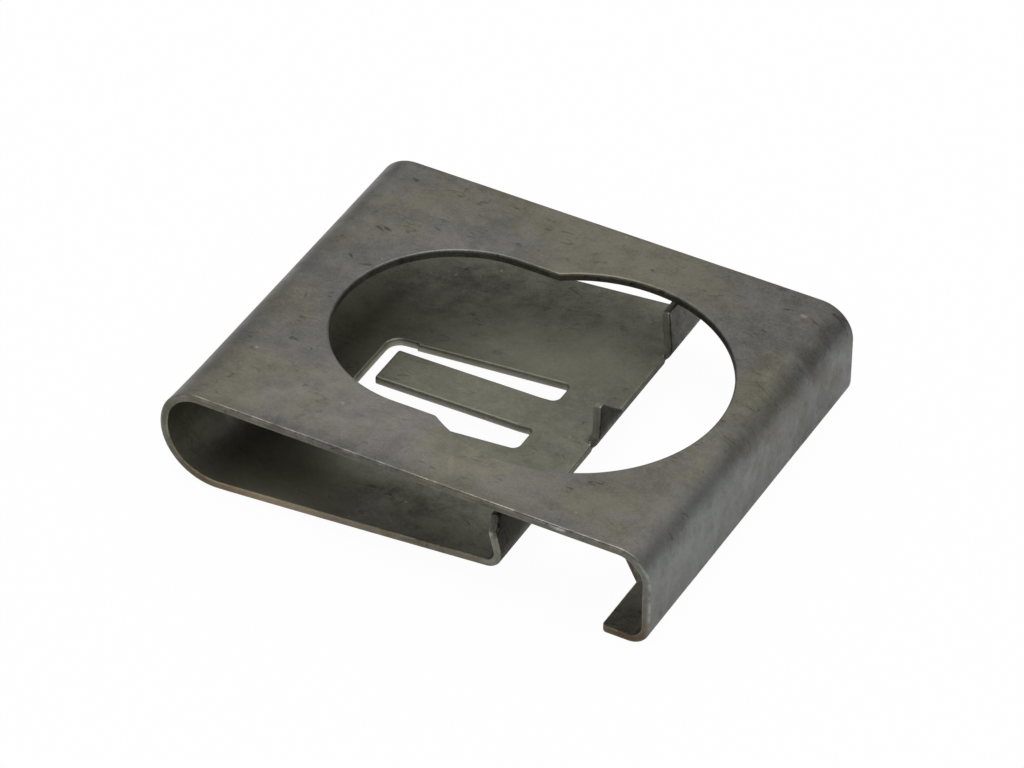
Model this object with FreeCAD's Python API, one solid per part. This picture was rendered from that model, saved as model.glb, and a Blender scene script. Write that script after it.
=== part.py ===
import FreeCAD, Part
import math
import os

from FreeCAD import Vector

# Retaining clip: one strip of spring steel, punched flat and then folded.
# Frame in millimetres: +X from the closed loop to the hook, +Y across the strip to the back,
# +Z up. The origin is the middle of the footprint, on the surface that the clip rests on.

# Strip
strip_width = 25.4
sheet = 0.5
length = 31.6            # outside of the loop to outside of the hook
height = 6.5             # underside of the hook to the upper face of the plate

# Plate opening: a round entry that runs into a straight-sided seat with a round end
entry_radius = 8.98
entry_to_hook = 11.35    # centre of the entry to the outside of the hook
seat_inset = 1.61        # the seat is narrower than the entry by this much on each side
seat_pitch = 7.85        # centre of the entry to the centre of the seat's round end
cusp_round = 0.35        # rounding of the two points between entry and seat
plate_punch_shift = -0.06  # the opening sits this far off the middle of the strip

# Hook: the plate turns down and its edge turns in again
hook_upper_bend = 1.65   # inside radii
hook_lower_bend = 0.85
flange_reach = 3.0       # outside of the hook to the flange's edge, near its two ends
flange_step = 1.95       # the flange is wider in the middle by this much
flange_middle_half = 6.35  # half the length of the flange's wide middle
flange_corner = 0.3

# Loop: two inside radii, the tighter one next to the plate
loop_upper_bend = 2.0
loop_upper_turn = 75.6
loop_lower_bend = 3.03
leaf_slope = 5.4         # degrees that the lower leaf rises towards the hook

# Window punched in the leaf round a raised tongue; lengths are taken along the leaf,
# from below the centre of the entry
window_far = 14.17
window_near = 2.24
window_width = 6.49
window_corner = 0.8
leg_end_round = 0.4
end_punch_length = 1.7   # the cross cut at the tongue's free end is a wider hit
end_punch_extra = 0.15
window_shift = 0.185     # off the middle of the strip

tongue_width = 2.92
tongue_shift = 0.335     # off the middle of the strip
tongue_end_gap = 1.42
tongue_hinge = 3.0       # where the tongue starts to rise
tongue_bend = 6.0
tongue_rise = 4.4        # degrees between tongue and leaf
tongue_corner = 0.2

# Lip at the free end of the leaf: a tab at each side and a small pointed tab between them
lip_past_entry = 1.9     # centre of the entry to the outside of the lip
lip_bend = 0.45
lip_lean = 14.0          # degrees past upright, back over the leaf
lip_clearance = 0.9      # lip to the underside of the plate
tab_width = 3.85         # at its top
tab_flare = 0.65         # the tab is wider at its foot by this much
tab_corner_width = 0.7
tab_corner_drop = 0.8
bare_edge_drop = 0.32    # the leaf ends this far short of the lip's face between the tabs
point_centre = 0.2       # off the middle of the strip
point_tip_width = 0.4
point_near_spread = 0.9  # foot of the pointed tab beyond its tip, on its near side
point_far_spread = 1.75  # and on its far side
point_drop = 1.6         # tip of the pointed tab to the underside of the plate

# Places that follow from the sizes above
half_width = strip_width / 2
hook_face_x = length / 2
loop_face_x = -length / 2
plate_top_z = height
plate_under_z = height - sheet
entry_x = hook_face_x - entry_to_hook
seat_x = entry_x - seat_pitch
seat_radius = entry_radius - seat_inset


def at(x, z):
    """Point of the side profile."""
    return Vector(x, 0, z)


def heading(degrees):
    """Unit direction in the side profile, counted from +X towards +Z."""
    angle = math.radians(degrees)
    return Vector(math.cos(angle), 0, math.sin(angle))


def line(start, end):
    return Part.makeLine(start, end)


def bend(centre, radius, first, last):
    """Arc of the side profile between two directions seen from its centre, in degrees."""
    middle = (first + last) / 2
    points = [centre + heading(a) * radius for a in (first, middle, last)]
    return Part.Arc(*points).toShape()


def across(edges, near, far):
    """Closed side profile carried across the strip from one Y to another."""
    face = Part.Face(Part.Wire(Part.__sortEdges__(edges)))
    face.translate(Vector(0, near, 0))
    return face.extrude(Vector(0, far - near, 0))


def block(x_low, x_high, y_low, y_high, z_low, z_high):
    corner = Vector(x_low, y_low, z_low)
    return Part.makeBox(x_high - x_low, y_high - y_low, z_high - z_low, corner)


def prism(points, direction):
    outline = Part.makePolygon(points + [points[0]])
    return Part.Face(outline).extrude(direction)


def upright_edges(solid, places, reach):
    """Edges along Z that pass within reach of one of the given (x, y) places."""
    found = []
    for edge in solid.Edges:
        start, end = edge.Vertexes[0].Point, edge.Vertexes[-1].Point
        upright = math.hypot(end.x - start.x, end.y - start.y) < 1e-6
        if not upright or abs(end.z - start.z) < 1e-6:
            continue
        if any(math.hypot(start.x - x, start.y - y) < reach for x, y in places):
            found.append(edge)
    return found


# Folds of the side profile, each given by the centre and its outside radius
upper_hook_outer = hook_upper_bend + sheet
lower_hook_outer = hook_lower_bend + sheet
hook_upper = at(hook_face_x - upper_hook_outer, plate_top_z - upper_hook_outer)
hook_lower = at(hook_face_x - lower_hook_outer, lower_hook_outer)
flange_x = hook_face_x - flange_reach
flange_middle_x = flange_x - flange_step

upper_outer = loop_upper_bend + sheet
lower_outer = loop_lower_bend + sheet
loop_growth = lower_outer - upper_outer
turn = math.radians(loop_upper_turn)
loop_upper = at(loop_face_x + lower_outer - loop_growth * math.sin(turn), plate_top_z - upper_outer)
loop_lower = loop_upper + at(loop_growth * math.sin(turn), -loop_growth * math.cos(turn))
loop_change = 90 + loop_upper_turn
loop_end = 270 + leaf_slope

leaf_along = heading(leaf_slope)
leaf_normal = heading(leaf_slope + 90)
leaf_start = loop_lower - leaf_normal * lower_outer

lip_outer = lip_bend + sheet
lip_face_x = entry_x + lip_past_entry
lip_run = lip_face_x - lip_outer - leaf_start.x + lip_outer * math.sin(math.radians(leaf_slope))
lip_start = leaf_start + leaf_along * (lip_run / math.cos(math.radians(leaf_slope)))
lip_centre = lip_start + leaf_normal * lip_outer
lip_up = heading(90 + lip_lean)
lip_top_z = plate_under_z - lip_clearance
tab_foot_y = half_width - tab_width - tab_flare
point_near_y = point_centre - point_tip_width / 2 - point_near_spread
point_far_y = point_centre + point_tip_width / 2 + point_far_spread


def folded_strip():
    """Flange, hook, plate, loop and leaf, up to the fold of the lip."""
    outside = [
        line(at(flange_middle_x, 0), at(hook_lower.x, 0)),
        bend(hook_lower, lower_hook_outer, -90, 0),
        line(at(hook_face_x, hook_lower.z), at(hook_face_x, hook_upper.z)),
        bend(hook_upper, upper_hook_outer, 0, 90),
        line(at(hook_upper.x, plate_top_z), at(loop_upper.x, plate_top_z)),
        bend(loop_upper, upper_outer, 90, loop_change),
        bend(loop_lower, lower_outer, loop_change, loop_end),
        line(leaf_start, lip_start),
    ]
    inside = [
        line(lip_start + leaf_normal * sheet, leaf_start + leaf_normal * sheet),
        bend(loop_lower, loop_lower_bend, loop_end, loop_change),
        bend(loop_upper, loop_upper_bend, loop_change, 90),
        line(at(loop_upper.x, plate_under_z), at(hook_upper.x, plate_under_z)),
        bend(hook_upper, hook_upper_bend, 90, 0),
        line(at(hook_face_x - sheet, hook_upper.z), at(hook_face_x - sheet, hook_lower.z)),
        bend(hook_lower, hook_lower_bend, 0, -90),
        line(at(hook_lower.x, sheet), at(flange_middle_x, sheet)),
    ]
    ends = [
        line(lip_start, lip_start + leaf_normal * sheet),
        line(at(flange_middle_x, sheet), at(flange_middle_x, 0)),
    ]
    return across(outside + inside + ends, -half_width, half_width)


def plate_opening():
    """Cutter for the round entry and the seat, with their meeting points rounded."""
    low, high = plate_under_z - sheet, plate_top_z + sheet
    tall = Vector(0, 0, high - low)
    entry = Part.makeCylinder(entry_radius, tall.z, Vector(entry_x, 0, low))
    round_end = Part.makeCylinder(seat_radius, tall.z, Vector(seat_x, 0, low))
    straight = block(seat_x, entry_x, -seat_radius, seat_radius, low, high)
    cutter = entry.fuse([round_end, straight]).removeSplitter()
    cusp_x = entry_x - math.sqrt(entry_radius ** 2 - seat_radius ** 2)
    cusps = upright_edges(cutter, [(cusp_x, -seat_radius), (cusp_x, seat_radius)], 0.1)
    cutter = cutter.makeFillet(cusp_round, cusps)
    cutter.translate(Vector(0, plate_punch_shift, 0))
    return cutter


def flange_trim():
    """Cutters that leave the flange wide in the middle, with sloping shoulders."""
    beyond = half_width + sheet
    trims = []
    for side in (-1, 1):
        points = [
            Vector(flange_middle_x - sheet, side * flange_middle_half, -sheet),
            Vector(flange_middle_x, side * flange_middle_half, -sheet),
            Vector(flange_x, side * (flange_middle_half + flange_step), -sheet),
            Vector(flange_x, side * beyond, -sheet),
            Vector(flange_middle_x - sheet, side * beyond, -sheet),
        ]
        trims.append(prism(points, Vector(0, 0, 3 * sheet)))
    return trims


def round_flange(body):
    """Rounds the corners of the flange."""
    corners = [
        place
        for side in (-1, 1)
        for place in ((flange_middle_x, side * flange_middle_half), (flange_x, side * half_width))
    ]
    return body.makeFillet(flange_corner, upright_edges(body, corners, flange_corner / 4))


def on_leaf(solid):
    """Carries a solid from the flat blank, where the leaf's outer face is z = 0, to the leaf."""
    below_entry = (entry_x - leaf_start.x) / math.cos(math.radians(leaf_slope))
    origin = leaf_start + leaf_along * below_entry
    rotation = FreeCAD.Rotation(Vector(0, 1, 0), -leaf_slope)
    placed = solid.copy()
    placed.Placement = FreeCAD.Placement(origin, rotation).multiply(solid.Placement)
    return placed


def leaf_window():
    """Cutter for the U-shaped window, laid out on the flat leaf."""
    low, high = -sheet, 2 * sheet
    half_window = window_width / 2
    tongue_near = tongue_shift - window_shift - tongue_width / 2
    tongue_far = tongue_near + tongue_width
    wide = half_window + end_punch_extra
    free_end = -window_far + tongue_end_gap
    window = block(-window_far, -window_near, -half_window, half_window, low, high)
    cross = block(-window_far, -window_far + end_punch_length, -wide, wide, low, high)
    corners = [(-window_far, -wide), (-window_far, wide)]
    cross = cross.makeFillet(window_corner, upright_edges(cross, corners, 0.05))
    narrow = block(-window_far, -window_far + window_corner, -wide, wide, low, high)
    window = window.cut(narrow)
    tongue = block(free_end, -window_near, tongue_near, tongue_far, low, high)
    cutter = window.fuse(cross).removeSplitter().cut(tongue)
    ends = [(-window_near, y) for y in (-half_window, tongue_near, tongue_far, half_window)]
    cutter = cutter.makeFillet(leg_end_round, upright_edges(cutter, ends, 0.05))
    cutter.translate(Vector(0, window_shift, 0))
    return on_leaf(cutter)


def flat_tongue():
    """The part of the tongue past its hinge, as the window leaves it."""
    reach = block(-window_far, -tongue_hinge, -tongue_width, tongue_width, -sheet, 2 * sheet)
    reach.translate(Vector(0, tongue_shift, 0))
    return on_leaf(reach)


def raised_tongue():
    """The same part, bent up from the hinge and running straight to its free end."""
    outer = tongue_bend + sheet
    centre = at(-tongue_hinge, outer)
    start, stop = -90, -90 - tongue_rise
    along = heading(180 - tongue_rise)
    straight = window_far - tongue_end_gap - tongue_hinge - outer * math.radians(tongue_rise)
    low = centre + heading(stop) * outer
    high = centre + heading(stop) * tongue_bend
    profile = [
        line(at(-tongue_hinge, sheet), at(-tongue_hinge, 0)),
        bend(centre, outer, start, stop),
        line(low, low + along * straight),
        line(low + along * straight, high + along * straight),
        line(high + along * straight, high),
        bend(centre, tongue_bend, stop, start),
    ]
    tongue = across(profile, -tongue_width / 2, tongue_width / 2)
    tip = low + along * straight
    corners = []
    for edge in tongue.Edges:
        middle = edge.CenterOfMass
        crosswise = abs(abs(middle.y) - tongue_width / 2) < 1e-6
        if crosswise and edge.Length < 1.01 * sheet and (middle - tip).Length < tongue_width:
            corners.append(edge)
    tongue = tongue.makeFillet(tongue_corner, corners)
    tongue.translate(Vector(0, tongue_shift, 0))
    return on_leaf(tongue)


def lip_tabs():
    """Folded edge of the leaf, cut to the outline that it shows from the hook's side."""
    lean_start = lip_centre + heading(lip_lean) * lip_outer
    inner_start = lip_centre + heading(lip_lean) * lip_bend
    rise = plate_under_z - lean_start.z
    tall = lip_up * (rise / lip_up.z)
    first = -90 + leaf_slope
    profile = [
        line(lip_start + leaf_normal * sheet, lip_start),
        bend(lip_centre, lip_outer, first, lip_lean),
        line(lean_start, lean_start + tall),
        line(lean_start + tall, inner_start + tall),
        line(inner_start + tall, inner_start),
        bend(lip_centre, lip_bend, lip_lean, first),
    ]
    folded = across(profile, -half_width, half_width)
    foot = lip_start.z - sheet
    root = lip_centre.z
    shoulder = lip_top_z - tab_corner_drop
    outlines = [
        [
            (side * half_width, foot),
            (side * half_width, shoulder),
            (side * (half_width - tab_corner_width), lip_top_z),
            (side * (half_width - tab_width), lip_top_z),
            (side * tab_foot_y, root),
            (side * tab_foot_y, foot),
        ]
        for side in (-1, 1)
    ]
    tip = plate_under_z - point_drop
    outlines.append([
        (point_near_y, foot),
        (point_near_y, root),
        (point_centre - point_tip_width / 2, tip),
        (point_centre + point_tip_width / 2, tip),
        (point_far_y, root),
        (point_far_y, foot),
    ])
    tabs = []
    for outline in outlines:
        points = [Vector(lip_start.x - 2 * lip_outer, y, z) for y, z in outline]
        tabs.append(folded.common(prism(points, Vector(4 * lip_outer, 0, 0))))
    return tabs


def bare_edges():
    """Flat edge of the leaf in the two gaps between the tabs."""
    reach = lip_face_x - bare_edge_drop - lip_start.x
    reach = leaf_along * (reach / math.cos(math.radians(leaf_slope)))
    pieces = []
    for near, far in ((-tab_foot_y, point_near_y), (point_far_y, tab_foot_y)):
        profile = [
            line(lip_start, lip_start + reach),
            line(lip_start + reach, lip_start + reach + leaf_normal * sheet),
            line(lip_start + reach + leaf_normal * sheet, lip_start + leaf_normal * sheet),
            line(lip_start + leaf_normal * sheet, lip_start),
        ]
        pieces.append(across(profile, near, far))
    return pieces


def retaining_clip():
    body = folded_strip()
    body = round_flange(body.cut([plate_opening()] + flange_trim()))
    body = body.cut(leaf_window()).cut(flat_tongue())
    body = body.fuse([raised_tongue()] + lip_tabs() + bare_edges())
    return body.removeSplitter()


os.makedirs("parts", exist_ok=True)
retaining_clip().exportStep("parts/retaining_clip.step")
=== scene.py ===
import cmath
import math

import bpy
import numpy as np
from mathutils import Matrix, Vector, geometry, kdtree


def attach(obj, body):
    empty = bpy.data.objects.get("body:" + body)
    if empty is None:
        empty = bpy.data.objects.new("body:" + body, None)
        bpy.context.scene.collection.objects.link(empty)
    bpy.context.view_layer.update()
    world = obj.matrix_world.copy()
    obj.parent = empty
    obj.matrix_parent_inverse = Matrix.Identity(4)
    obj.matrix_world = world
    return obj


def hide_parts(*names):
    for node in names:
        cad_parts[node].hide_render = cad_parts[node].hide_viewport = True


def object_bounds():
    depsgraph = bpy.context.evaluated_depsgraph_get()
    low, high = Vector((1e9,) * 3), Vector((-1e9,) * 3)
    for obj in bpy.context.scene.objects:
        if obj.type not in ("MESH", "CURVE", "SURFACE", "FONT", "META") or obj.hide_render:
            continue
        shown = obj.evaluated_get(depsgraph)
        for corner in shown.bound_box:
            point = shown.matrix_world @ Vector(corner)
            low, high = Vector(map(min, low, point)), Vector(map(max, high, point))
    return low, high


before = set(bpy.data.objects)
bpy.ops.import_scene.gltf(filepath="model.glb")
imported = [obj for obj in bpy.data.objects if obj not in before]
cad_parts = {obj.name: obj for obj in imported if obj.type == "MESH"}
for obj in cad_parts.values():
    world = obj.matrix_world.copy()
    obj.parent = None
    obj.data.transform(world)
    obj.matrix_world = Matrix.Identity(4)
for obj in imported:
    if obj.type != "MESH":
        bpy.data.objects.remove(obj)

# Looks of the retaining clip: a flat blank is punched, its edges are rounded, and a tree of
# folds bends it to the shape of the solid. Sizes are in millimetres until the blank is made,
# with Along counted on the outer face from the middle of the clip towards the hook.
MM = 0.001
cad_low, cad_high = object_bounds()
length, strip_width, height = [(high - low) / MM for low, high in zip(cad_low, cad_high)]
sheet = 0.5

# Plate opening
entry_radius = 8.98
entry_to_hook = 11.35
seat_inset = 1.61
seat_pitch = 7.85
cusp_round = 0.35
plate_punch_shift = -0.06

# Hook
hook_upper_bend = 1.65
hook_lower_bend = 0.85
flange_reach = 3.0
flange_step = 1.95
flange_middle_half = 6.35
flange_corner = 0.3

# Loop and leaf
loop_upper_bend = 2.0
loop_upper_turn = 75.6
loop_lower_bend = 3.03
leaf_slope = 5.4

# Window and tongue
window_far = 14.17
window_near = 2.24
window_width = 6.49
window_corner = 0.8
leg_end_round = 0.4
end_punch_length = 1.7
end_punch_extra = 0.15
window_shift = 0.185
tongue_width = 2.92
tongue_shift = 0.335
tongue_end_gap = 1.42
tongue_hinge = 3.0
tongue_bend = 6.0
tongue_rise = 4.4
tongue_corner = 0.2

# Lip
lip_past_entry = 1.9
lip_bend = 0.45
lip_lean = 14.0
lip_clearance = 0.9
tab_width = 3.85
tab_flare = 0.65
tab_corner_width = 0.7
tab_corner_drop = 0.8
bare_edge_drop = 0.32
point_centre = 0.2
point_tip_width = 0.4
point_near_spread = 0.9
point_far_spread = 1.75
point_drop = 1.6

# Edges of the punched sheet. The side that the punch meets rolls over, the other one is crisp:
# run and depth of the rounding on the outer face, then on the inner one.
edge_step = 0.16         # distance between points along an edge
rim = 0.15               # width of the band along each edge that carries the rounding
corner_break = 0.17      # rounding of corners that are sharp on the drawing
root_flare = 0.12        # the foot of a tab runs out over this much of the bare edge beside it
strip_edge_round = ((0.1, 0.12), (0.06, 0.06))
opening_edge_round = ((0.13, 0.16), (0.03, 0.03))
window_edge_round = ((0.04, 0.04), (0.14, 0.2))
shear_recess = 0.012     # the broken part of a cut stands back by this much
shear_end = 0.5          # share of a cut's height, from the outer face, that is cleanly sheared
break_start = 0.7        # the broken part starts at this share
strip_wear_and_light = 1.0     # how far hands and wear reach the three kinds of cut edge, and the painted shade and light on their walls
opening_wear_and_light = 0.3
window_wear_and_light = 0.12

# Small departures of the folded strip from its drawing
loop_inset = 0.12        # the loop stands inside the clip's end, but its near edge flares out
near_flare = 0.12
leaf_twist = 0.14        # the leaf's far edge is high and its near edge low by this much
twist_power = 0.6        # the twist grows fast next to the loop and slowly towards the lip
flare_power = 9.0        # the flare keeps close to the near edge
wave_height = 0.03
wave_length = 6.25       # width of the largest waves of the faces
lip_skew = -0.004        # run of the lip's fold line along the strip for each step across it

# Mesh
flat_step = 0.32         # distance between points where the strip is flat
bend_step = 0.16         # and where it bends
widest_turn = 0.26       # largest turn in radians between two points of a round edge
rounding_steps = 3       # steps of the rounding between a face and the wall of a cut
rim_clearance = 0.7      # points keep this share of an edge step away from the rims
mitre_limit = 0.7        # least cosine that a corner's mitre is divided by
cut_share = 0.6          # faces with more of the attribute "wall" get the finish of cut edges

# Colours of the finish
grey_coat = (0.18, 0.1705, 0.1615, 1)
olive_coat = (0.178, 0.169, 0.131, 1)
rubbed_coat = (0.168, 0.175, 0.168, 1)
inner_coat = (0.176, 0.176, 0.14, 1)
cut_brown = (0.16, 0.144, 0.105, 1)
rust_brown = (0.2, 0.115, 0.055, 1)

# Single marks: centre, turn in degrees, half sizes, change of lightness and of olive.
# Strokes and spots of the faces come first, then painted highlights on the cut edges, then wide
# soft patches, many of them painted light and shade.
face_marks = (
    ((-11.5, 6.2, 6.5), 20, (0.5, 0.17, 1), -0.5, 0.0),
    ((-11.9, 6.0, 6.5), 25, (0.4, 0.13, 1), -0.4, 0.0),
    ((-12.1, 2.9, 6.5), 35, (0.4, 0.15, 1), -0.4, 0.0),
    ((-11.0, 2.6, 6.5), -20, (0.5, 0.14, 1), -0.35, 0.0),
    ((-12.6, -1.5, 6.5), 70, (0.5, 0.12, 1), -0.3, 0.0),
    ((2.2, -10.9, 6.5), 60, (1.4, 0.3, 1), 0.15, 0.8),
    ((4.6, -10.2, 6.5), -30, (1.6, 0.45, 1), 0.12, 0.8),
    ((0.6, -10.2, 6.5), 20, (0.9, 0.3, 1), 0.05, 0.9),
    ((-4.8, 9.9, 6.5), 10, (1.1, 0.5, 1), 0.05, 0.8),
    ((-12.6, -7.1, 6.5), 0, (0.14, 0.12, 1), 0.6, 0.0),
    ((13.45, 10.75, 6.5), 0, (0.3, 0.2, 1), 0.6, 0.0),
)
painted_edge_highlights = (
    # Painted highlights: a glint on the near tab's top corner and one on the plate's near arris
    ((5.6, -12.7, 4.15), 0, (0.45, 0.5, 0.35), 0.9, -0.5),
    ((10.0, -12.7, 6.4), 0, (0.7, 0.5, 0.35), 1.6, -0.5),
)
soft_patches_and_painted_light = (
    # Painted shade on the near tab's top corner, under the plate
    ((5.5, -12.6, 5.1), 0, (2.2, 1.4, 1.7), -0.5, 0.0),
    # Darker towards the plate's left, far and right sides and along its near edge, lighter by its
    # near-left part
    ((-15.0, 2.0, 6.5), 0, (8, 26, 4), -0.08, 0.0),
    ((0.0, 14.0, 6.5), 0, (26, 9, 3), -0.14, 0.2),
    ((10.5, 2.0, 6.5), 0, (8, 24, 2.5), -0.16, 0.0),
    ((0.0, -13.0, 6.5), 0, (24, 1.7, 0.8), -0.2, 0.0),
    ((-5.0, -9.0, 6.5), 0, (9, 4, 2), 0.12, 0.0),
    # Darker towards the far end of the hook's wall
    ((15.8, 11.0, 3.5), 0, (3, 8, 8), -0.18, 0.0),
    # Painted shade and light on the leaf's inner face and inside the loop, under the plate: shade
    # towards the far side, light in the middle, inside the loop and at the near mouth
    ((-3.0, 12.5, 1.0), 0, (15, 6, 2.6), -0.3, 0.0),
    ((0.0, 6.0, 1.3), 0, (7, 4, 2.5), 0.45, 0.0),
    ((-12.0, 3.0, 1.3), 0, (3.5, 4.5, 3), 0.4, 0.0),
    ((-9.0, -10.5, 1.5), 0, (5.5, 6, 4), 0.75, 0.0),
    ((-10.5, 9.0, 1.0), 0, (6, 4, 3), -0.3, 0.0),
    ((-3.0, 0.5, 1.3), 0, (10, 3.5, 1.8), 0.18, 0.0),
    ((-5.0, -13.0, 1.0), 0, (7, 4, 2.5), 0.45, 0.0),
)
# Spots of rust: the fourth value is the amount of rust
rust_spots = (
    ((13.6, 10.4, 6.5), 0, (0.3, 0.22, 1), 0.8, 0.0),
    ((12.6, -3.4, 6.5), 0, (0.25, 0.2, 1), 0.6, 0.0),
)

# Lightness of the finish, where 1 is the colour of the coat: each mask adds its gain to the base.
# Several gains paint light and shade.
base_light = 0.82
lowest_light = 0.15
light_gains = {
    "tone": 0.36,
    "grain": 0.56,
    "scratches": -0.3,
    "specks": 0.5,
    # A bright arris is bare worn metal and a painted highlight as well
    "worn arris with painted highlight": 0.6,
    "cut": -0.1,
    # Painted shade on the cut walls of the opening and the window
    "painted shade on cut": -0.45,
    # Painted light on the window's cut walls, less of it towards the inner face
    "window cut": 2.0,
    "window cut towards inner face": -1.5,
    # Painted shade on the tabs' outer faces, and painted light on their cut walls
    "painted shade on lip's outer face": -0.5,
    "painted light on lip's cut": 0.3,
    # Painted shade on the leaf's inner face by the loop's near mouth
    "mouth": -0.38,
}

# Places along the blank
half_width = strip_width / 2
entry_along = length / 2 - entry_to_hook
seat_along = entry_along - seat_pitch
seat_radius = entry_radius - seat_inset
hook_upper_outer = hook_upper_bend + sheet
hook_lower_outer = hook_lower_bend + sheet
loop_upper_outer = loop_upper_bend + sheet
loop_lower_outer = loop_lower_bend + sheet
lip_outer = lip_bend + sheet
tongue_outer = tongue_bend + sheet

slope = math.radians(leaf_slope)
quarter = math.pi / 2
upper_turn = math.radians(loop_upper_turn)
lower_turn = math.pi + slope - upper_turn
lip_turn = quarter + math.radians(lip_lean) - slope

hook_upper_start = length / 2 - hook_upper_outer
hook_upper_end = hook_upper_start + hook_upper_outer * quarter
hook_lower_start = hook_upper_end + height - hook_upper_outer - hook_lower_outer
hook_lower_end = hook_lower_start + hook_lower_outer * quarter
flange_edge = hook_lower_end + flange_reach - hook_lower_outer
flange_middle_edge = flange_edge + flange_step

loop_growth = loop_lower_outer - loop_upper_outer
loop_face_x = loop_inset - length / 2
loop_upper_start = loop_face_x + loop_lower_outer - loop_growth * math.sin(upper_turn)
loop_lower_start = loop_upper_start - loop_upper_outer * upper_turn
leaf_start = loop_lower_start - loop_lower_outer * lower_turn
leaf_start_x = loop_face_x + loop_lower_outer + loop_lower_outer * math.sin(slope)
leaf_start_z = (height - loop_upper_outer - loop_growth * math.cos(upper_turn)
                - loop_lower_outer * math.cos(slope))
below_entry = leaf_start - (entry_along - leaf_start_x) / math.cos(slope)
lip_face_x = entry_along + lip_past_entry
lip_run = (lip_face_x - lip_outer - leaf_start_x + lip_outer * math.sin(slope)) / math.cos(slope)
lip_start = leaf_start - lip_run
lip_centre_z = leaf_start_z + lip_run * math.sin(slope) + lip_outer * math.cos(slope)
lip_end = lip_start - lip_outer * lip_turn
bare_edge = lip_start - (lip_face_x - bare_edge_drop - leaf_start_x) / math.cos(slope) + lip_run
tab_foot = half_width - tab_width - tab_flare
point_near = point_centre - point_tip_width / 2 - point_near_spread
point_far = point_centre + point_tip_width / 2 + point_far_spread


def up_the_lip(z):
    """Place along the blank of a height on the lip's outer face."""
    lean = math.radians(lip_lean)
    sine = (z - lip_centre_z) / lip_outer
    if sine < math.sin(lean):
        return lip_start - lip_outer * (quarter - slope + math.asin(sine))
    return lip_end - (z - lip_centre_z - lip_outer * math.sin(lean)) / math.cos(lean)


def span(start, end):
    """Evenly spaced points of a straight edge, without its last point."""
    count = max(1, math.ceil(abs(end - start) / edge_step))
    return [start + (end - start) * k / count for k in range(count)]


def arc(centre, start, turn):
    """Evenly spaced points of a round edge that starts at a point, without its last point."""
    arm = start - centre
    count = max(math.ceil(abs(arm) * abs(turn) / edge_step), math.ceil(abs(turn) / widest_turn))
    return [centre + arm * cmath.exp(1j * turn * k / count) for k in range(count)]


def rounded(corners):
    """Closed outline through (along, across, radius) corners, as complex numbers."""
    places = [complex(along, across) for along, across, _ in corners]
    outline, joints = [], []
    for k, (_, _, radius) in enumerate(corners):
        before, here, after = places[k - 1], places[k], places[(k + 1) % len(places)]
        into = (here - before) / abs(here - before)
        out = (after - here) / abs(after - here)
        turn = cmath.phase(out / into)
        setback = radius * math.tan(abs(turn) / 2)
        centre = here - into * setback + into * 1j * math.copysign(radius, turn)
        joints.append((here - into * setback, centre, turn, here + out * setback))
    for k, (start, centre, turn, end) in enumerate(joints):
        outline += arc(centre, start, turn)
        outline += span(end, joints[(k + 1) % len(joints)][0])
    return outline


def strip_outline():
    """Outer edge of the blank, with the metal on its left."""
    lip_top_z = height - sheet - lip_clearance
    tab_top = up_the_lip(lip_top_z)
    shoulder = up_the_lip(lip_top_z - tab_corner_drop)
    tip = up_the_lip(height - sheet - point_drop)
    root = up_the_lip(lip_centre_z)
    shoulder_y = flange_middle_half + flange_step
    half_tip = point_tip_width / 2
    break_ = corner_break
    return rounded([
        (flange_edge, -half_width, flange_corner),
        (flange_edge, -shoulder_y, break_),
        (flange_middle_edge, -flange_middle_half, flange_corner),
        (flange_middle_edge, flange_middle_half, flange_corner),
        (flange_edge, shoulder_y, break_),
        (flange_edge, half_width, flange_corner),
        (shoulder, half_width, break_),
        (tab_top, half_width - tab_corner_width, break_),
        (tab_top, half_width - tab_width, break_),
        (root, tab_foot, break_),
        (bare_edge, tab_foot - root_flare, break_),
        (bare_edge, point_far + root_flare, break_),
        (root, point_far, break_),
        (tip, point_centre + half_tip, break_),
        (tip, point_centre - half_tip, break_),
        (root, point_near, break_),
        (bare_edge, point_near - root_flare, break_),
        (bare_edge, root_flare - tab_foot, break_),
        (root, -tab_foot, break_),
        (tab_top, tab_width - half_width, break_),
        (tab_top, tab_corner_width - half_width, break_),
        (shoulder, -half_width, break_),
    ])


def opening_outline():
    """Entry and seat with rounded meeting points, with the metal on the left."""
    shift = 1j * plate_punch_shift
    rise = seat_radius + cusp_round
    run = math.sqrt((entry_radius + cusp_round) ** 2 - rise ** 2)
    lean = math.atan2(rise, run)
    entry = entry_along + shift
    seat = seat_along + shift
    near_cusp, far_cusp = entry - run - 1j * rise, entry - run + 1j * rise
    outline = arc(entry, entry + cmath.rect(entry_radius, math.pi - lean), 2 * lean - math.tau)
    outline += arc(near_cusp, near_cusp + cmath.rect(cusp_round, lean), quarter - lean)
    outline += span(near_cusp + 1j * cusp_round, seat - 1j * seat_radius)
    outline += arc(seat, seat - 1j * seat_radius, -math.pi)
    outline += span(seat + 1j * seat_radius, far_cusp - 1j * cusp_round)
    outline += arc(far_cusp, far_cusp - 1j * cusp_round, quarter - lean)
    return outline


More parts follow.
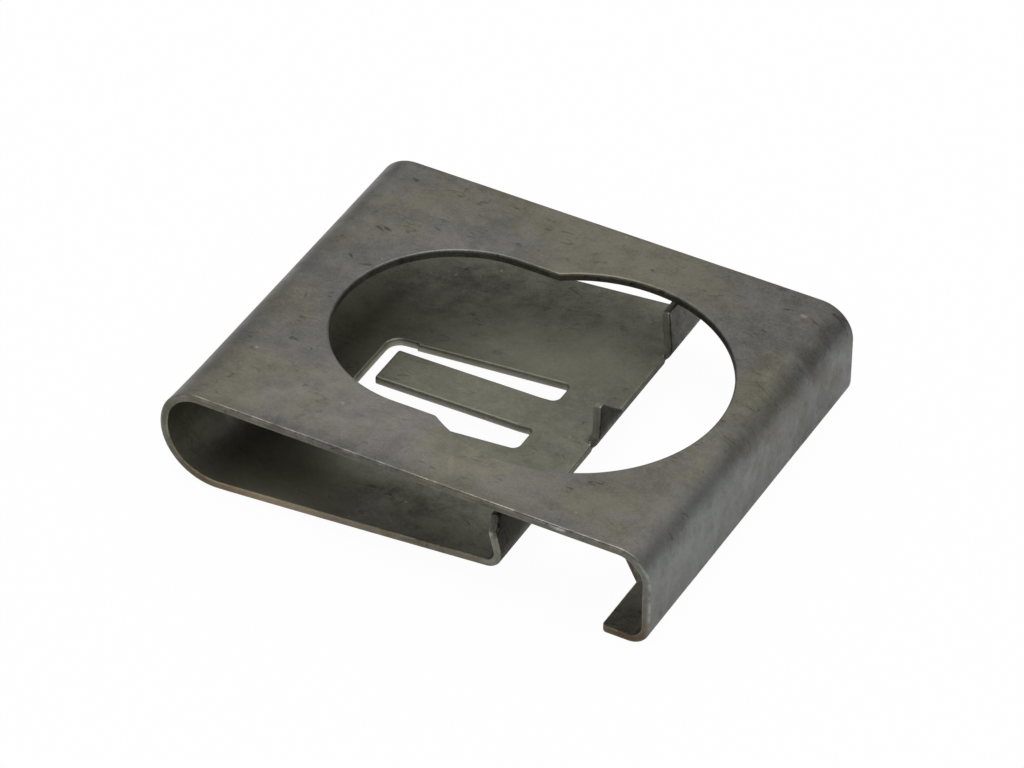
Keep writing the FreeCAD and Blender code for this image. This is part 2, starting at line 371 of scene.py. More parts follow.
def window_outline():
    """U-shaped window round the tongue, with the metal on the left."""
    near, far = below_entry + window_near, below_entry + window_far
    step = far - end_punch_length
    free = far - tongue_end_gap
    near_side, far_side = window_shift - window_width / 2, window_shift + window_width / 2
    near_wide, far_wide = near_side - end_punch_extra, far_side + end_punch_extra
    tongue_near, tongue_far = tongue_shift - tongue_width / 2, tongue_shift + tongue_width / 2
    small = end_punch_extra / 2
    return rounded([
        (near, far_side, leg_end_round),
        (step, far_side, small),
        (step, far_wide, small),
        (far, far_wide, window_corner),
        (far, near_wide, window_corner),
        (step, near_wide, small),
        (step, near_side, small),
        (near, near_side, leg_end_round),
        (near, tongue_near, leg_end_round),
        (free, tongue_near, tongue_corner),
        (free, tongue_far, tongue_corner),
        (near, tongue_far, leg_end_round),
    ])


def into_metal(outline):
    """Mitred direction from each point of an outline into the metal on its left."""
    here = np.array(outline)
    into = here - np.roll(here, 1)
    out = np.roll(here, -1) - here
    into, out = into / abs(into), out / abs(out)
    middle = into + out
    middle = middle / abs(middle)
    return 1j * middle / np.maximum((middle * np.conj(into)).real, mitre_limit)


def inside(points, outlines):
    """True for each point that the outlines enclose, holes taken out."""
    crossings = np.zeros(len(points), int)
    for outline in outlines:
        for start, end in zip(outline, np.roll(outline, -1)):
            rising = (start.imag > points.imag) != (end.imag > points.imag)
            if start.imag == end.imag:
                continue
            share = (points.imag - start.imag) / (end.imag - start.imag)
            crossings += rising & (points.real < start.real + share * (end.real - start.real))
    return crossings % 2 == 1


def face_points(outlines):
    """Inner points of a face: close rows where the strip bends, wider ones where it is flat."""
    zones = [
        (up_the_lip(height - sheet - lip_clearance), lip_start, bend_step),
        (lip_start, leaf_start, flat_step),
        (leaf_start, loop_upper_start, bend_step),
        (loop_upper_start, hook_upper_start, flat_step),
        (hook_upper_start, hook_upper_end, bend_step),
        (hook_upper_end, hook_lower_start, flat_step),
        (hook_lower_start, hook_lower_end, bend_step),
        (hook_lower_end, flange_middle_edge, flat_step),
    ]
    rows = []
    for low, high, step in zones:
        rows += list(np.linspace(low, high, math.ceil((high - low) / step), endpoint=False))
    across = np.arange(-half_width, half_width, flat_step)
    grid = [row + 1j * (across + (k % 2) * flat_step / 2) for k, row in enumerate(rows)]
    grid = np.concatenate(grid)
    grid = grid[inside(grid, outlines)]
    rims = kdtree.KDTree(sum(len(outline) for outline in outlines))
    for k, point in enumerate(np.concatenate(outlines)):
        rims.insert((point.real, point.imag, 0), k)
    rims.balance()
    clear = edge_step * rim_clearance
    return [p for p in grid if rims.find((p.real, p.imag, 0))[2] > clear]


def edge_profile(rounding):
    """Steps of a cut edge from the outer face to the inner one: inset, depth, arris, wall."""
    (outer_run, outer_depth), (inner_run, inner_depth) = rounding
    turns = [k / rounding_steps for k in range(rounding_steps + 1)]
    outer, inner = [], []
    for t in turns:
        sine, cosine = math.sin(quarter * t), math.cos(quarter * t)
        worn = math.sin(math.pi * (0.15 + 0.7 * t))
        outer.append((outer_run * (1 - sine), outer_depth * (1 - cosine), worn, t))
        inner.append((inner_run * (1 - sine), sheet - inner_depth * (1 - cosine), worn, t))
    low, high = outer_depth, sheet - inner_depth
    wall = [(0.0, low + (high - low) * shear_end, 0.0, 1.0),
            (shear_recess, low + (high - low) * break_start, 0.0, 1.0)]
    return outer + wall + inner[::-1]


def flat_blank():
    """Mesh of the punched blank, its outer face up at the height of the plate."""
    shapes = [
        (strip_outline(), strip_edge_round, strip_wear_and_light),
        (opening_outline(), opening_edge_round, opening_wear_and_light),
        (window_outline(), window_edge_round, window_wear_and_light),
    ]
    directions = [into_metal(outline) for outline, _, _ in shapes]
    rims = [np.array(shape[0]) + rim * way for shape, way in zip(shapes, directions)]
    points = [Vector((p.real, p.imag)) for p in np.concatenate(rims)]
    edges, first = [], 0
    for loop in rims:
        count = len(loop)
        edges += [(first + k, first + (k + 1) % count) for k in range(count)]
        first += count
    points += [Vector((p.real, p.imag)) for p in face_points(rims)]
    spots, _, faces, origins, _, _ = geometry.delaunay_2d_cdt(points, edges, [], 0, 1e-6)
    place = {origin: k for k, sources in enumerate(origins) for origin in sources}
    spots = np.array([complex(*spot) for spot in spots])
    kept = inside(spots[np.array(faces)].mean(1), rims)
    faces = [face for face, inner in zip(faces, kept) if inner]

    face_count = len(spots)
    verts = [(p.real, p.imag, 0.0) for p in spots] + [(p.real, p.imag, sheet) for p in spots]
    arris = [0.0] * len(verts)
    wall = [0.0] * len(verts)
    wear_and_light = [1.0] * len(verts)
    polygons = [tuple(face) for face in faces]
    polygons += [tuple(face_count + k for k in reversed(face)) for face in faces]
    first = 0
    for (outline, rounding, shape_wear_and_light), way in zip(shapes, directions):
        count = len(outline)
        upper = [place[first + k] for k in range(count)]
        rows = [upper]
        for inset, depth, edge, side in edge_profile(rounding):
            rows.append(range(len(verts), len(verts) + count))
            ring = np.array(outline) + inset * way
            verts += [(p.real, p.imag, depth) for p in ring]
            arris += [edge * shape_wear_and_light] * count
            wall += [side] * count
            wear_and_light += [shape_wear_and_light] * count
        rows.append([face_count + k for k in upper])
        for high, low in zip(rows, rows[1:]):
            for k in range(count):
                after = (k + 1) % count
                polygons.append((high[k], low[k], low[after], high[after]))
        first += count

    verts = np.array(verts)
    mesh = bpy.data.meshes.new("retaining_clip_blank")
    flat = verts * (1, 1, -1) + (0, 0, height)
    mesh.from_pydata((flat * MM).tolist(), [], polygons)
    mesh.polygons.foreach_set("use_smooth", [True] * len(mesh.polygons))
    write_attribute(mesh, "arris", arris)
    write_attribute(mesh, "wall", wall)
    write_attribute(mesh, "wear_and_light", wear_and_light)
    write_attribute(mesh, "depth", verts[:, 2] / sheet)
    write_attribute(mesh, "lip_fold", lip_share(verts[:, 1]))
    write_attribute(mesh, "tongue_fold", tongue_share(verts[:, 0], verts[:, 1]))
    return mesh


def write_attribute(mesh, name, values):
    layer = mesh.attributes.new(name, "FLOAT", "POINT")
    layer.data.foreach_set("value", np.asarray(values, np.float32))


def lip_share(across):
    """1 where the leaf's edge folds up into a tab, 0 in the gaps, with a short run between."""
    run = 0.3
    sides = np.clip((abs(across) - tab_foot + run) / run, 0, 1)
    near = np.clip((across - point_near + run) / run, 0, 1)
    far = np.clip((point_far + run - across) / run, 0, 1)
    share = np.maximum(sides, near * far)
    return share * share * (3 - 2 * share)


def tongue_share(along, across):
    """1 on the tongue, 0 elsewhere."""
    off = abs(across - tongue_shift)
    free = below_entry + window_far - tongue_end_gap
    middle = (tongue_width + window_width) / 4
    return (off < middle) & (along > below_entry + tongue_hinge) & (along < free + rim)


def feed(tree, socket, value):
    """Gives a socket a value, or another socket to read."""
    if isinstance(value, bpy.types.NodeSocket):
        tree.links.new(value, socket)
    else:
        socket.default_value = value


def add(tree, kind, inputs=None, **settings):
    """New node with its settings made and its inputs fed."""
    node = tree.nodes.new(kind)
    for name, value in settings.items():
        setattr(node, name, value)
    for name, value in (inputs or {}).items():
        feed(tree, node.inputs[name], value)
    return node


def maths(tree, operation, *values, clamp=False):
    inputs = dict(enumerate(values))
    return add(tree, "ShaderNodeMath", inputs, operation=operation, use_clamp=clamp).outputs[0]


def product(tree, first, *others):
    for other in others:
        first = maths(tree, "MULTIPLY", first, other)
    return first


def shifted(tree, value, mask, amount):
    """Value with an amount added where a mask is 1, and with a share of it elsewhere."""
    return maths(tree, "MULTIPLY_ADD", mask, amount, value)


def vector_maths(tree, operation, *values):
    inputs = dict(enumerate(values))
    return add(tree, "ShaderNodeVectorMath", inputs, operation=operation).outputs[0]


def vector(tree, x=0.0, y=0.0, z=0.0):
    return add(tree, "ShaderNodeCombineXYZ", {"X": x, "Y": y, "Z": z}).outputs[0]


def noise(tree, place, size, detail=2.0, roughness=0.5, distortion=0.0):
    """Cloudy pattern from 0 to 1; size is the width of its largest patches in millimetres."""
    inputs = {"Vector": place, "Scale": 1 / (size * MM), "Detail": detail,
              "Roughness": roughness, "Distortion": distortion}
    return add(tree, "ShaderNodeTexNoise", inputs).outputs[0]


def new_group(name, kind, inputs, outputs):
    """Node group with its sockets made, and its input and output nodes."""
    tree = bpy.data.node_groups.new(name, kind)
    for side, sockets in (("INPUT", inputs), ("OUTPUT", outputs)):
        for label, socket_type in sockets.items():
            tree.interface.new_socket(label, in_out=side, socket_type="NodeSocket" + socket_type)
    return tree, tree.nodes.new("NodeGroupInput"), tree.nodes.new("NodeGroupOutput")


def fold_group():
    """One fold: what lies past its start line is rolled round its centre, up to its angle."""
    floats = ("Along", "Across", "Skew", "Share", "Start", "Side", "Radius", "Angle", "Face Height")
    inputs = {"Position": "Vector", **dict.fromkeys(floats, "Float")}
    tree, given, result = new_group("Fold", "GeometryNodeTree", inputs, {"Position": "Vector"})
    get = given.outputs
    start = shifted(tree, get["Start"], get["Across"], get["Skew"])
    past = product(tree, maths(tree, "SUBTRACT", get["Along"], start), get["Side"])
    turn = maths(tree, "MAXIMUM", maths(tree, "DIVIDE", past, get["Radius"]), 0.0)
    turn = product(tree, maths(tree, "MINIMUM", turn, get["Angle"]), get["Share"], get["Side"])
    slide = product(tree, turn, get["Radius"], -1.0)
    moved = vector_maths(tree, "ADD", get["Position"], vector(tree, x=slide))
    centre_z = maths(tree, "SUBTRACT", get["Face Height"], get["Radius"])
    centre = vector(tree, x=start, z=centre_z)
    rotate = {"Vector": moved, "Center": centre, "Angle": turn}
    folded = add(tree, "ShaderNodeVectorRotate", rotate, rotation_type="Y_AXIS")
    feed(tree, result.inputs["Position"], folded.outputs[0])
    return tree


# Folds in the order that they are made, from the strip's two ends inwards:
# name, start, side, outer radius, angle, skew, attribute that says what it bends
tongue_turn = math.radians(tongue_rise)
folds = [
    ("Lip", lip_start, -1, lip_outer, lip_turn, lip_skew, "lip_fold"),
    ("Tongue", below_entry + tongue_hinge, 1, tongue_outer, tongue_turn, 0.0, "tongue_fold"),
    ("Loop Lower", loop_lower_start, -1, loop_lower_outer, lower_turn, 0.0, None),
    ("Loop Upper", loop_upper_start, -1, loop_upper_outer, upper_turn, 0.0, None),
    ("Hook Lower", hook_lower_start, 1, hook_lower_outer, quarter, 0.0, None),
    ("Hook Upper", hook_upper_start, 1, hook_upper_outer, quarter, 0.0, None),
]


def share_of_way(tree, place, start, end):
    """0 up to the start, 1 from the end on, and evenly between."""
    gone = maths(tree, "SUBTRACT", place, start)
    return maths(tree, "DIVIDE", gone, maths(tree, "SUBTRACT", end, start), clamp=True)


def fold_strip_tree():
    """Waves the blank a little, makes every fold and gives the faces their finish."""
    floats = ("Face Height", "Wave Height", "Leaf Twist", "Near Flare", "Loop Start",
              "Leaf Start", "Lip Start", "Half Width")
    inputs = {"Blank": "Geometry", "Face Finish": "Material", "Cut Finish": "Material"}
    inputs.update(dict.fromkeys(floats, "Float"))
    for name, *_ in folds:
        inputs.update({f"{name} {size}": "Float" for size in ("Start", "Radius", "Angle")})
    tree, given, result = new_group("Fold Strip", "GeometryNodeTree", inputs, {"Clip": "Geometry"})
    get = given.outputs
    start = add(tree, "GeometryNodeInputPosition").outputs[0]
    parts = add(tree, "ShaderNodeSeparateXYZ", {0: start}).outputs
    along, across = parts["X"], parts["Y"]

    sink = product(tree, noise(tree, start, wave_length), get["Wave Height"])
    side = maths(tree, "DIVIDE", across, get["Half Width"])

    down_leaf = share_of_way(tree, along, get["Leaf Start"], get["Lip Start"])
    down_leaf = maths(tree, "POWER", down_leaf, twist_power)
    sink = maths(tree, "ADD", sink, product(tree, down_leaf, side, get["Leaf Twist"]))

    round_loop = share_of_way(tree, along, get["Loop Start"], get["Leaf Start"])
    bulge = maths(tree, "SINE", product(tree, round_loop, math.pi))
    near = maths(tree, "POWER", maths(tree, "MULTIPLY", side, -1.0, clamp=True), flare_power)
    lift = maths(tree, "SUBTRACT", product(tree, bulge, near, get["Near Flare"]), sink)
    position = vector_maths(tree, "ADD", start, vector(tree, z=lift))

    fold = fold_group()
    for name, _, direction, _, _, skew, mask in folds:
        share = 1.0
        if mask:
            share = add(tree, "GeometryNodeInputNamedAttribute", {"Name": mask}).outputs[0]
        sockets = {"Position": position, "Along": along, "Across": across, "Skew": skew,
                   "Share": share, "Side": direction, "Face Height": get["Face Height"]}
        sockets.update({size: get[f"{name} {size}"] for size in ("Start", "Radius", "Angle")})
        node = add(tree, "GeometryNodeGroup", node_tree=fold)
        for label, value in sockets.items():
            feed(tree, node.inputs[label], value)
        position = node.outputs[0]

    moved = add(tree, "GeometryNodeSetPosition", {"Geometry": get["Blank"], "Position": position})
    solid = add(tree, "GeometryNodeRealizeInstances", {"Geometry": moved.outputs[0]})
    faced = add(tree, "GeometryNodeSetMaterial",
                {"Geometry": solid.outputs[0], "Material": get["Face Finish"]})
    wall = add(tree, "GeometryNodeInputNamedAttribute", {"Name": "wall"}).outputs[0]
    on_cut = maths(tree, "GREATER_THAN", wall, cut_share)
    cut = add(tree, "GeometryNodeSetMaterial",
              {"Geometry": faced.outputs[0], "Material": get["Cut Finish"], "Selection": on_cut})
    feed(tree, result.inputs["Clip"], cut.outputs[0])
    return tree


def folded_clip(face_finish, cut_finish):
    """The finished clip as one plain mesh."""
    blank = bpy.data.objects.new("blank", flat_blank())
    bpy.context.collection.objects.link(blank)
    modifier = blank.modifiers.new("folds", "NODES")
    modifier.node_group = fold_strip_tree()
    values = {
        "Face Height": height * MM,
        "Wave Height": wave_height * MM,
        "Leaf Twist": leaf_twist * MM,
        "Near Flare": near_flare * MM,
        "Loop Start": loop_upper_start * MM,
        "Leaf Start": leaf_start * MM,
        "Lip Start": lip_start * MM,
        "Half Width": half_width * MM,
        "Face Finish": face_finish,
        "Cut Finish": cut_finish,
    }
    for name, start, _, radius, angle, _, _ in folds:
        values[f"{name} Start"] = start * MM
        values[f"{name} Radius"] = radius * MM
        values[f"{name} Angle"] = angle
    for item in modifier.node_group.interface.items_tree:
        if item.in_out == "INPUT" and item.name in values:
            modifier[item.identifier] = values[item.name]
    view_layer = bpy.context.evaluated_depsgraph_get()
    mesh = bpy.data.meshes.new_from_object(blank.evaluated_get(view_layer), depsgraph=view_layer)
    bpy.data.objects.remove(blank)
    clip = bpy.data.objects.new("folded_steel_clip", mesh)
    bpy.context.collection.objects.link(clip)
    return clip


def ramp(tree, value, low, high):
    """Smooth step of a value from 0 at low to 1 at high."""
    inputs = {"Value": value, "From Min": low, "From Max": high}
    step = add(tree, "ShaderNodeMapRange", inputs, interpolation_type="SMOOTHSTEP")
    return step.outputs[0]


def place_ramp(tree, axis, low, high):
    """Smooth step along an axis between two places in millimetres."""
    return ramp(tree, axis, low * MM, high * MM)


def stretched(tree, place, turn, squeeze):
    """Place turned in the plate's plane and squeezed along one direction."""
    inputs = {"Vector": place, "Rotation": (0, 0, math.radians(turn)), "Scale": squeeze}
    return add(tree, "ShaderNodeMapping", inputs).outputs[0]


def mix_colour(tree, share, low, high, blend="MIX"):
    node = add(tree, "ShaderNodeMix", data_type="RGBA", blend_type=blend)
    feed(tree, node.inputs[0], share)
    feed(tree, node.inputs[6], low)
    feed(tree, node.inputs[7], high)
    return node.outputs[2]


def use_group(tree, group, **inputs):
    node = add(tree, "ShaderNodeGroup", node_tree=group)
    for name, value in inputs.items():
        feed(tree, node.inputs[name.replace("_", " ")], value)
    return node.outputs


def tarnish_group():
    """Clouds of oily olive and bare grey in the phosphate coat, its lightness and fine grain."""
    tree, given, result = new_group(
        "Tarnish", "ShaderNodeTree", {"Place": "Vector", "Olive Bias": "Float"},
        {"Olive": "Float", "Tone": "Float", "Grain": "Float"})
    place = given.outputs["Place"]
    clouds = noise(tree, place, 8.0, 3.0, 0.55, 0.5)
    wisps = noise(tree, stretched(tree, place, 35, (1, 1.7, 1)), 2.4, 3.0, 0.55, 1.0)
    olive = shifted(tree, clouds, wisps, 0.4)
    olive = maths(tree, "ADD", olive, given.outputs["Olive Bias"])
    feed(tree, result.inputs["Olive"], ramp(tree, olive, 0.58, 0.9))
    patches = noise(tree, place, 1.2, 5.0, 0.72)
    smears = noise(tree, stretched(tree, place, -50, (1, 1.8, 1)), 3.2, 3.0, 0.6, 0.8)
    drift = maths(tree, "SUBTRACT", noise(tree, place, 16.0, 1.0), 0.5)
    tone = shifted(tree, shifted(tree, patches, smears, 0.8), drift, 0.7)
    feed(tree, result.inputs["Tone"], ramp(tree, tone, 0.6, 1.2))
    feed(tree, result.inputs["Grain"], noise(tree, place, 0.17, 2.0, 0.7))
    return tree


def scuff_group():
    """Masks of short dark scratches and of pale specks."""
    tree, given, result = new_group(
        "Scuffs", "ShaderNodeTree", {"Place": "Vector"}, {"Scratches": "Float", "Specks": "Float"})
    place = given.outputs["Place"]

    scratches = []
    for turn, squeeze in ((62, 4.0), (-28, 4.6)):
        line = noise(tree, stretched(tree, place, turn, (1, squeeze, 1)), 2.6, 1.0, 0.4, 0.1)
        off_line = maths(tree, "ABSOLUTE", maths(tree, "SUBTRACT", line, 0.5))
        thin = ramp(tree, off_line, 0.03, 0.006)
        where = noise(tree, stretched(tree, place, turn + 40, (1, 1, 1)), 1.2)
        scratches.append(product(tree, thin, ramp(tree, where, 0.58, 0.67)))
    feed(tree, result.inputs["Scratches"], maths(tree, "MAXIMUM", *scratches))

    cell_size = 1.15
    largest, soft = 0.085, 0.03      # radius and blur of a speck, as shares of a cell
    cells = {"Vector": place, "Scale": 1 / (cell_size * MM), "Randomness": 1.0}
    cell = add(tree, "ShaderNodeTexVoronoi", cells, feature="F1")
    picked = add(tree, "ShaderNodeSeparateColor", {"Color": cell.outputs["Color"]}).outputs
    radius = product(tree, ramp(tree, picked[0], 0.6, 1.0), largest)
    inside_speck = maths(tree, "SUBTRACT", radius, cell.outputs["Distance"])
    feed(tree, result.inputs["Specks"], ramp(tree, inside_speck, -soft, soft))
    return tree


def edge_group():
    """Masks of bright worn metal along the arrises, which carries a painted highlight too, and of
    rust near them.
    """
    tree, given, result = new_group(
        "Edges", "ShaderNodeTree", {"Place": "Vector", "Arris": "Float", "Wall": "Float"},
        {"Worn": "Float", "Rust": "Float"})
    place, arris, wall = given.outputs["Place"], given.outputs["Arris"], given.outputs["Wall"]
    broken = ramp(tree, noise(tree, place, 1.1, 4.0, 0.7), 0.42, 0.62)
    feed(tree, result.inputs["Worn"], product(tree, ramp(tree, arris, 0.1, 0.8), broken))
    height_above_floor = add(tree, "ShaderNodeSeparateXYZ", {0: place}).outputs[2]
    low_down = place_ramp(tree, height_above_floor, 2.2, 0.3)
    stain = ramp(tree, noise(tree, place, 2.6, 4.0, 0.65), 0.5, 0.72)
    stain = shifted(tree, stain, low_down, 0.8)
    near_edge = maths(tree, "MAXIMUM", arris, wall)
    feed(tree, result.inputs["Rust"], product(tree, stain, near_edge))
    return tree


def mark_group():
    """Mask of one single stroke, spot or patch, turned in the plate's plane."""
    tree, given, result = new_group(
        "Mark", "ShaderNodeTree", {"Place": "Vector", "Ragged": "Float", "Centre": "Vector",
                                   "Turn": "Float", "Size": "Vector"}, {"Mask": "Float"})
    get = given.outputs
    off = vector_maths(tree, "SUBTRACT", get["Place"], get["Centre"])
    rotate = {"Vector": off, "Angle": get["Turn"]}
    turned = add(tree, "ShaderNodeVectorRotate", rotate, rotation_type="Z_AXIS").outputs[0]
    scaled = vector_maths(tree, "DIVIDE", turned, get["Size"])
    reach = add(tree, "ShaderNodeVectorMath", {0: scaled}, operation="LENGTH").outputs["Value"]
    reach = shifted(tree, reach, get["Ragged"], 1.2)
    feed(tree, result.inputs["Mask"], ramp(tree, reach, 1.6, 0.9))
    return tree


def attribute(tree, name):
    return add(tree, "ShaderNodeAttribute", attribute_name=name).outputs["Fac"]


def lip_mask(tree, axes):
    """1 on the tabs and on the leaf's bare edge, 0 elsewhere."""
    start = place_ramp(tree, axes[0], lip_face_x - 1.6, lip_face_x - 0.9)
    end = place_ramp(tree, axes[0], lip_face_x + 1, lip_face_x + 0.5)
    below_plate = place_ramp(tree, axes[2], height - sheet, height - 1.5 * sheet)
    return product(tree, start, end, below_plate)


def mouth_shade_mask(tree, axes, depth, wall):
    """1 on the leaf's inner face next to the loop's near mouth, where shade is painted."""
    near_edge = place_ramp(tree, axes[1], -6.5, -9.5)
    past_loop = place_ramp(tree, axes[0], -10, -4)
    low_down = place_ramp(tree, axes[2], 3.4, 2.2)
    inner_face = maths(tree, "SUBTRACT", depth, wall, clamp=True)
    return product(tree, near_edge, past_loop, low_down, inner_face)


def inner_mask(tree, axes, depth, lip):
    """Share of the inner faces' colour: less by the strip's near edge, more on the lip."""
    off_near_edge = place_ramp(tree, axes[1], -11.5, -7)
    inner = product(tree, depth, shifted(tree, 0.15, off_near_edge, 0.45))
    return maths(tree, "MAXIMUM", inner, product(tree, lip, 0.7))


def exposed_mask(tree, axes, wear_and_light, lip):
    """1 low on the strip's own edges, less higher up and in the opening, 0 on the lip."""
    in_open = maths(tree, "SUBTRACT", ramp(tree, wear_and_light, 0.1, 1.0), lip, clamp=True)
    low_down = place_ramp(tree, axes[2], 5, 2)
    return product(tree, in_open, shifted(tree, 0.2, low_down, 0.8))


def mark_masks(tree, group, place, ragged, marks):
    """Mask of each single mark, with the two values that its row ends with."""
    found = []
    for centre, turn, size, lightness, olive in marks:
        mark = use_group(tree, group, Place=place, Ragged=ragged, Centre=Vector(centre) * MM,
                         Turn=math.radians(turn), Size=Vector(size) * MM)
        found.append((mark["Mask"], lightness, olive))
    return found


def coat_shade(tree, masks, single):
    """Grey that a colour is multiplied by: each mask and single mark adds to the base."""
    light = base_light
    for kind, mask in masks.items():
        light = shifted(tree, light, mask, light_gains[kind])
    for mask, amount, _ in single:
        light = shifted(tree, light, mask, amount)
    light = maths(tree, "MAXIMUM", light, lowest_light)
    return add(tree, "ShaderNodeCombineColor", {0: light, 1: light, 2: light}).outputs[0]


def steel_finish(name, metallic, brown, single_marks, groups):
    """Worn phosphate coat on spring steel, browned where it is cut, with painted light and shade in
    its lightness.
    """
    tarnish, scuffs, edges, mark = groups
    material = bpy.data.materials.new(name)
    material.use_nodes = True
    tree = material.node_tree
    shader = tree.nodes["Principled BSDF"]
    place = add(tree, "ShaderNodeTexCoord").outputs["Object"]
    axes = add(tree, "ShaderNodeSeparateXYZ", {0: place}).outputs
    depth, wall = attribute(tree, "depth"), attribute(tree, "wall")
    wear_and_light = attribute(tree, "wear_and_light")
    coat = use_group(tree, tarnish, Place=place, Olive_Bias=product(tree, depth, 0.24))
    scuff = use_group(tree, scuffs, Place=place)
    edge = use_group(tree, edges, Place=place, Arris=attribute(tree, "arris"), Wall=wall)
    lip = lip_mask(tree, axes)
    ragged = noise(tree, place, 0.5, 2.0, 0.7)
    single = mark_masks(tree, mark, place, ragged, single_marks)
    single += mark_masks(tree, mark, place, 0.5, soft_patches_and_painted_light)

    olive = coat["Olive"]
    for mask, _, amount in single:
        olive = shifted(tree, olive, mask, amount)
    colour = mix_colour(tree, olive, grey_coat, olive_coat)
    colour = mix_colour(tree, inner_mask(tree, axes, depth, lip), colour, inner_coat)
    on_hook = place_ramp(tree, axes[0], length / 2 - 1.6, length / 2 - 0.2)
    colour = mix_colour(tree, product(tree, on_hook, coat["Tone"], 1.3), colour, rubbed_coat)
    exposed = exposed_mask(tree, axes, wear_and_light, lip)
    colour = mix_colour(tree, product(tree, exposed, brown), colour, cut_brown)
    rust = product(tree, edge["Rust"], exposed, 0.45)
    for mask, amount, _ in mark_masks(tree, mark, place, ragged, rust_spots):
        rust = shifted(tree, rust, mask, amount)
    colour = mix_colour(tree, rust, colour, rust_brown)

    # Painted light on the window's cut walls
    window_cut_light = product(tree, ramp(tree, wear_and_light, 0.28, 0.14), wall)
    masks = {
        "tone": coat["Tone"],
        "grain": maths(tree, "SUBTRACT", coat["Grain"], 0.5),
        "scratches": scuff["Scratches"],
        "specks": scuff["Specks"],
        "worn arris with painted highlight": edge["Worn"],
        "cut": wall,
        "painted shade on cut": product(tree, maths(tree, "SUBTRACT", 1.0, wear_and_light), wall),
        "window cut": window_cut_light,
        "window cut towards inner face": product(tree, window_cut_light, depth),
        "painted shade on lip's outer face": product(tree, lip, ramp(tree, depth, 0.6, 0.1)),
        "painted light on lip's cut": product(tree, lip, wall),
        "mouth": mouth_shade_mask(tree, axes, depth, wall),
    }
    colour = mix_colour(tree, 1.0, colour, coat_shade(tree, masks, single), "MULTIPLY")
    feed(tree, shader.inputs["Base Color"], colour)
    shader.inputs["Metallic"].default_value = metallic

    roughness = 0.46
    for mask, amount in ((coat["Tone"], -0.06), (coat["Olive"], 0.04), (edge["Worn"], -0.1)):
        roughness = shifted(tree, roughness, mask, amount)
    feed(tree, shader.inputs["Roughness"], roughness)

    relief = shifted(tree, coat["Grain"], scuff["Scratches"], -1.2)
    bump = {"Strength": 0.25, "Distance": 0.02 * MM, "Height": relief}
    feed(tree, shader.inputs["Normal"], add(tree, "ShaderNodeBump", bump).outputs[0])
    return material


def pale_floor():
    """Plain floor that reads white to the camera and keeps a faint shadow."""
    half = 1.5
    floor_grey = 0.85
    white_to_camera, white_to_metal = 0.97, 0.1
    mesh = bpy.data.meshes.new("floor")
    corners = [(-half, -half, 0), (half, -half, 0), (half, half, 0), (-half, half, 0)]
    mesh.from_pydata(corners, [], [(0, 1, 2, 3)])
    floor = bpy.data.objects.new("floor", mesh)
    bpy.context.collection.objects.link(floor)
    material = bpy.data.materials.new("pale_floor")
    material.use_nodes = True
    tree = material.node_tree
    shader = tree.nodes["Principled BSDF"]
    shader.inputs["Base Color"].default_value = (floor_grey, floor_grey, floor_grey, 1)
    shader.inputs["Roughness"].default_value = 0.9
    shader.inputs["Specular IOR Level"].default_value = 0.0
    paths = add(tree, "ShaderNodeLightPath").outputs
    seen = maths(tree, "MAXIMUM", paths["Is Camera Ray"], paths["Is Transmission Ray"])
    share = product(tree, seen, white_to_camera)
    share = shifted(tree, share, paths["Is Glossy Ray"], white_to_metal)
    glow = add(tree, "ShaderNodeEmission", {"Color": (1, 1, 1, 1), "Strength": 1.0})
    mix = add(tree, "ShaderNodeMixShader", {0: share, 1: shader.outputs[0], 2: glow.outputs[0]})
    feed(tree, tree.nodes["Material Output"].inputs["Surface"], mix.outputs[0])
    mesh.materials.append(material)


def soft_lamp(name, azimuth, elevation, distance, size, power):
    """Square lamp that faces the clip; azimuth 0 stands in front, 90 on the hook's side."""
    light = bpy.data.lights.new(name, "AREA")
    light.shape = "SQUARE"
    light.size = size
    light.energy = power
    lamp = bpy.data.objects.new(name, light)
    a, e = math.radians(azimuth), math.radians(elevation)
    back = Vector((math.sin(a) * math.cos(e), -math.cos(a) * math.cos(e), math.sin(e)))
    lamp.location = back * distance
    lamp.rotation_euler = back.to_track_quat("Z", "Y").to_euler()
    bpy.context.collection.objects.link(lamp)


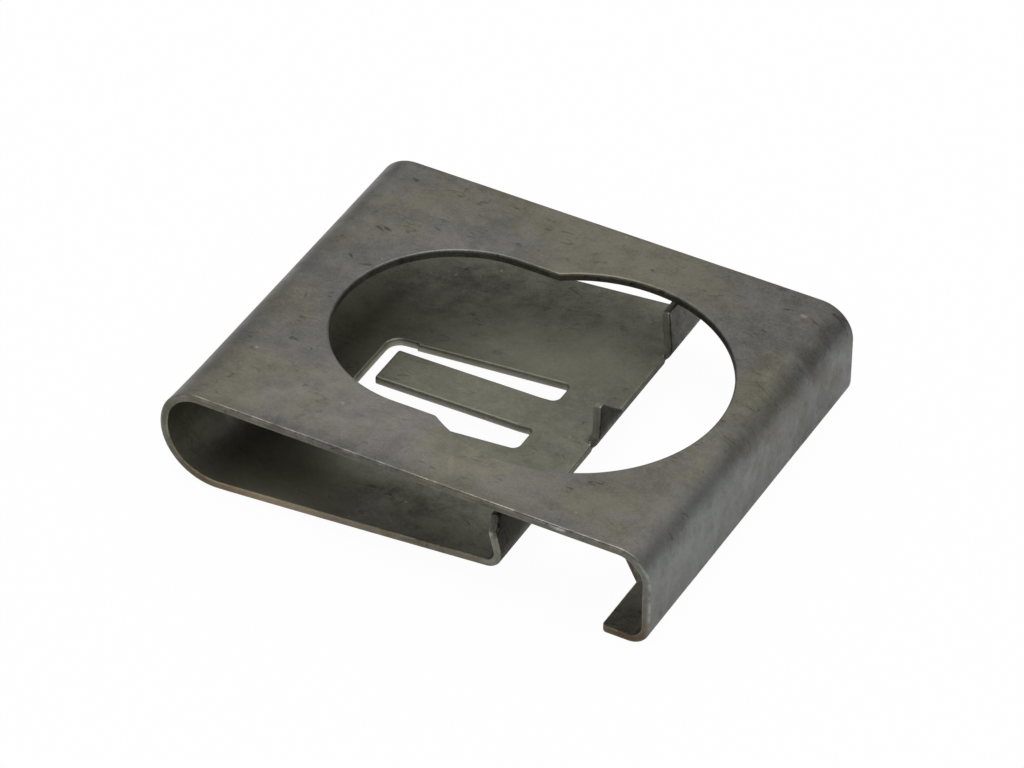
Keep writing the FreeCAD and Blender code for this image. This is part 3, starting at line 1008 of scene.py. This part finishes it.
def plain_world(strength):
    """Even light from all round, white to the camera."""
    world = bpy.data.worlds.new("pale_studio")
    world.use_nodes = True
    tree = world.node_tree
    ground = tree.nodes["Background"]
    ground.inputs["Color"].default_value = (1, 1, 1, 1)
    paths = add(tree, "ShaderNodeLightPath").outputs
    seen = maths(tree, "MAXIMUM", paths["Is Camera Ray"], paths["Is Transmission Ray"])
    feed(tree, ground.inputs["Strength"], shifted(tree, strength, seen, 1 - strength))
    bpy.context.scene.world = world


def photo_camera():
    """Camera at the photograph's viewing angle, aimed at a point of the plate's upper face."""
    azimuth, elevation, roll = math.radians(28.081), math.radians(39.005), math.radians(0.773)
    target = Vector((1.748, -2.934, height)) * MM
    distance = 369.26 * MM
    focal_pixels, image_width = 6500, 1024
    back = Vector((math.sin(azimuth) * math.cos(elevation),
                   -math.cos(azimuth) * math.cos(elevation), math.sin(elevation)))
    right = Vector((math.cos(azimuth), math.sin(azimuth), 0))
    up = back.cross(right)
    rolled_right = right * math.cos(roll) + up * math.sin(roll)
    rolled_up = up * math.cos(roll) - right * math.sin(roll)
    data = bpy.data.cameras.new("photo_camera")
    data.sensor_width = 36
    data.lens = focal_pixels / image_width * data.sensor_width
    data.clip_start = 0.01
    data.dof.use_dof = False
    camera = bpy.data.objects.new("photo_camera", data)
    turned = Matrix((rolled_right, rolled_up, back)).transposed().to_4x4()
    camera.matrix_world = Matrix.Translation(target + back * distance) @ turned
    bpy.context.collection.objects.link(camera)
    bpy.context.scene.camera = camera


effects = tarnish_group(), scuff_group(), edge_group(), mark_group()
face_finish = steel_finish("phosphated_spring_steel", 0.92, 0.0, face_marks, effects)
cut_finish = steel_finish("sheared_edge", 0.85, 0.6, painted_edge_highlights, effects)
clip = folded_clip(face_finish, cut_finish)
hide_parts("retaining_clip")
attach(clip, "root")

pale_floor()
soft_lamp("key_lamp", azimuth=190, elevation=55, distance=0.8, size=1.5, power=2.5)
soft_lamp("top_lamp", azimuth=0, elevation=88, distance=0.9, size=0.9, power=5.5)
plain_world(0.34)
photo_camera()
bpy.context.scene.view_settings.view_transform = "Standard"
